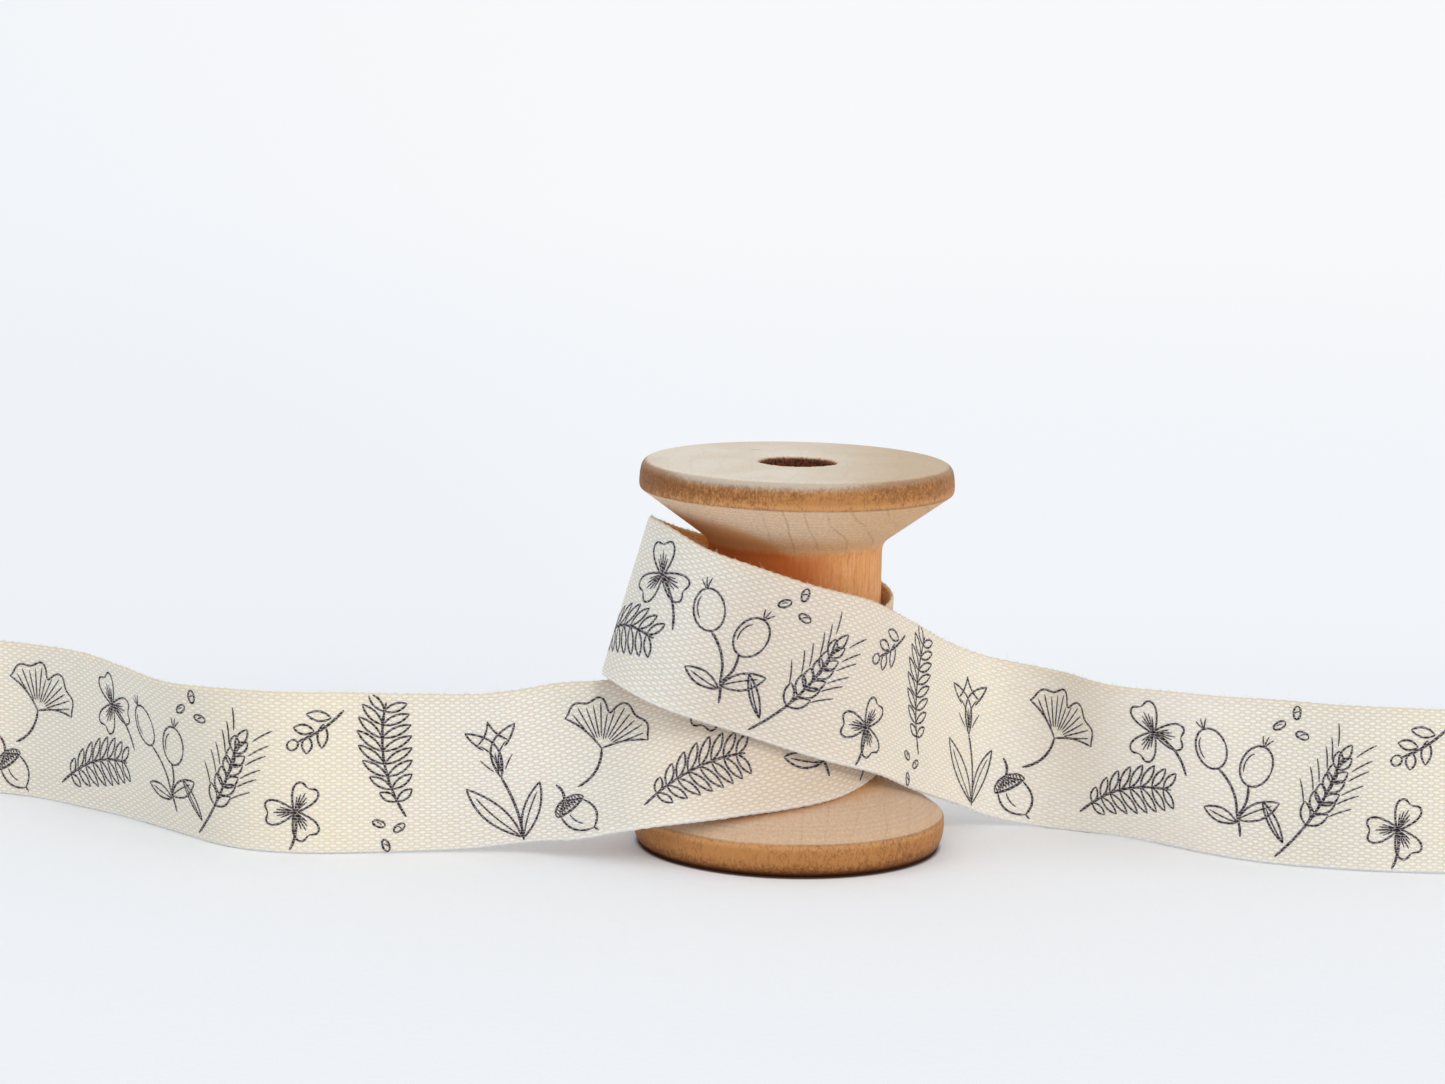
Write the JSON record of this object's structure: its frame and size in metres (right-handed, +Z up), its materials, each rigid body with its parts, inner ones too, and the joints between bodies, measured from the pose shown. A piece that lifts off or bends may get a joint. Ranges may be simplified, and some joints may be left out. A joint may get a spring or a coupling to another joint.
{
  "type": "spool with cotton ribbon",
  "caption": "Turned wooden spool with flanged ends and a spindle bore, holding one turn of printed cotton ribbon that crosses itself and leaves to both sides.",
  "frame": {"origin": "on the spool's axis, at the plane of its base face", "axes": "+Z up along the spool's axis, +X to the right along the ribbon's run seen from the front, -Y towards the viewer of the picture"},
  "size_m": [0.1581, 0.029, 0.0358],
  "materials": {
    "burnished_wood": "turned pale hardwood, waxed, rims and core burnished to orange brown",
    "printed_cotton": "unbleached plain-weave cotton with thin dark line print"
  },
  "bodies": {
    "spool": {"turned_spool": "burnished_wood"},
    "ribbon": {"cotton_ribbon": "printed_cotton"}
  },
  "joints": [
    {"name": "ribbon_turn", "type": "hinge", "parent": "spool", "child": "ribbon", "pos_m": [0, 0, 0.0179], "axis": [0, 0, 1], "continuous": true}
  ]
}
